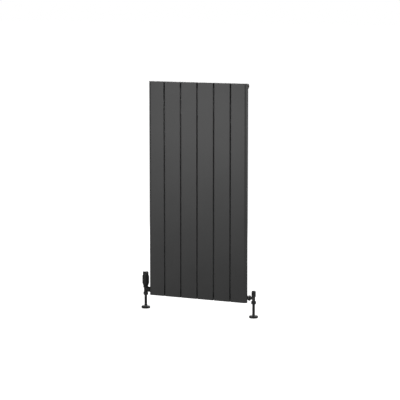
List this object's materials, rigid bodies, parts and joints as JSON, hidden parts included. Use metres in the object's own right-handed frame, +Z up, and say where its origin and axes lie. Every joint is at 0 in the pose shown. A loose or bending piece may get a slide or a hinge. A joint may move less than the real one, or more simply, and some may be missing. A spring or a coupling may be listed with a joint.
{
  "type": "radiator",
  "caption": "Tall flat-panel central heating radiator with rounded end panels, wall brackets, a thermostatic valve, a lockshield valve and pipe rosettes.",
  "frame": {"origin": "on the floor plane, midway between the two valves and midway between the front face and the wall", "axes": "+X to the right seen from the room, -Y towards the room, +Y towards the wall, +Z up"},
  "size_m": [0.712, 0.08, 1.283],
  "materials": {
    "panel_paint": "matt anthracite powder coat",
    "header_paint": "matt anthracite powder coat",
    "bracket_paint": "satin dark grey powder coat",
    "valve_paint": "fine-textured anthracite coat",
    "pipe_paint": "satin anthracite coat on copper",
    "brass": "machined, slightly dulled",
    "stainless": "turned, satin",
    "spring_steel": "drawn wire",
    "aluminium": "machined",
    "seal_rubber": "matt EPDM",
    "head_plastic": "fine-grained moulding",
    "cap_plastic": "fine-grained moulding",
    "rosette_plastic": "satin moulding",
    "pad_plastic": "tough nylon",
    "sensor_plastic": "pale technical moulding"
  },
  "bodies": {
    "radiator": {"section_1": "panel_paint", "section_2": "panel_paint", "section_3": "panel_paint", "section_4": "panel_paint", "section_5": "panel_paint", "section_6": "panel_paint", "upper_header": "header_paint", "lower_header": "header_paint", "upper_nipples": "aluminium", "lower_nipples": "aluminium", "upper_nipple_seals": "seal_rubber", "lower_nipple_seals": "seal_rubber", "blanking_plug_gasket": "seal_rubber", "vent_plug_gasket": "seal_rubber", "flow_diverter": "seal_rubber", "header_bushes": "brass", "blanking_plug": "valve_paint", "air_vent_plug": "valve_paint", "upper_bracket_left": "bracket_paint", "upper_bracket_right": "bracket_paint", "lower_bracket_left": "bracket_paint", "lower_bracket_right": "bracket_paint", "bracket_pads": "pad_plastic", "supply_pipe_left": "pipe_paint", "supply_pipe_right": "pipe_paint", "trv_body": "valve_paint", "trv_compression_nut": "valve_paint", "trv_union_nut": "valve_paint", "trv_tailpiece": "valve_paint", "trv_olive": "brass", "lockshield_body": "valve_paint", "lockshield_compression_nut": "valve_paint", "lockshield_union_nut": "valve_paint", "lockshield_tailpiece": "valve_paint", "lockshield_olive": "brass", "trv_insert": "brass", "trv_return_spring": "spring_steel", "trv_collar_nut": "valve_paint", "trv_head_base": "head_plastic", "lockshield_bonnet": "brass"},
    "sensor": {"sensor_capsule": "sensor_plastic"},
    "handwheel": {"handwheel": "head_plastic"},
    "trv_pin": {"trv_pin": "stainless", "trv_disc_washer": "seal_rubber"},
    "lockshield_spindle": {"lockshield_spindle": "brass"},
    "lockshield_cone": {"lockshield_cone": "brass", "lockshield_washer": "seal_rubber"},
    "lockshield_cap": {"lockshield_cap": "cap_plastic"},
    "bleed_screw": {"bleed_screw": "brass"},
    "rosette_left": {"rosette_left": "rosette_plastic"},
    "rosette_right": {"rosette_right": "rosette_plastic"}
  },
  "joints": [
    {"name": "sensor_lift", "type": "slide", "parent": "radiator", "child": "sensor", "axis": [0, 0, 1], "range_m": [-0.002, 0.002]},
    {"name": "handwheel_turn", "type": "hinge", "parent": "sensor", "child": "handwheel", "pos_m": [-0.33125, -0.01, 0.1785], "axis": [0, 0, 1], "range_deg": [-150, 150]},
    {"name": "pin_travel", "type": "slide", "parent": "radiator", "child": "trv_pin", "axis": [0, 0, 1], "range_m": [-0.002, 0.002], "deforming": ["trv_return_spring"]},
    {"name": "spindle_turn", "type": "hinge", "parent": "radiator", "child": "lockshield_spindle", "pos_m": [0.33125, -0.01, 0.1285], "axis": [0, 0, 1], "range_deg": [-720, 720]},
    {"name": "cone_lift", "type": "slide", "parent": "radiator", "child": "lockshield_cone", "axis": [0, 0, 1], "range_m": [-0.002, 0.002]},
    {"name": "cap_pull", "type": "slide", "parent": "radiator", "child": "lockshield_cap", "axis": [0, 0, 1], "range_m": [0, 0.053]},
    {"name": "bleed_screw_turn", "type": "hinge", "parent": "radiator", "child": "bleed_screw", "pos_m": [0.3, -0.01, 1.268], "axis": [1, 0, 0], "range_deg": [0, 360]},
    {"name": "rosette_left_slide", "type": "slide", "parent": "radiator", "child": "rosette_left", "axis": [0, 0, 1], "range_m": [0, 0.053]},
    {"name": "rosette_right_slide", "type": "slide", "parent": "radiator", "child": "rosette_right", "axis": [0, 0, 1], "range_m": [0, 0.053]}
  ],
  "couplings": [
    {"joint": "handwheel_turn", "follows": "sensor_lift", "rad_per_m": 1309},
    {"joint": "pin_travel", "follows": "sensor_lift", "ratio": 1},
    {"joint": "spindle_turn", "follows": "cone_lift", "rad_per_m": 6283.2}
  ]
}
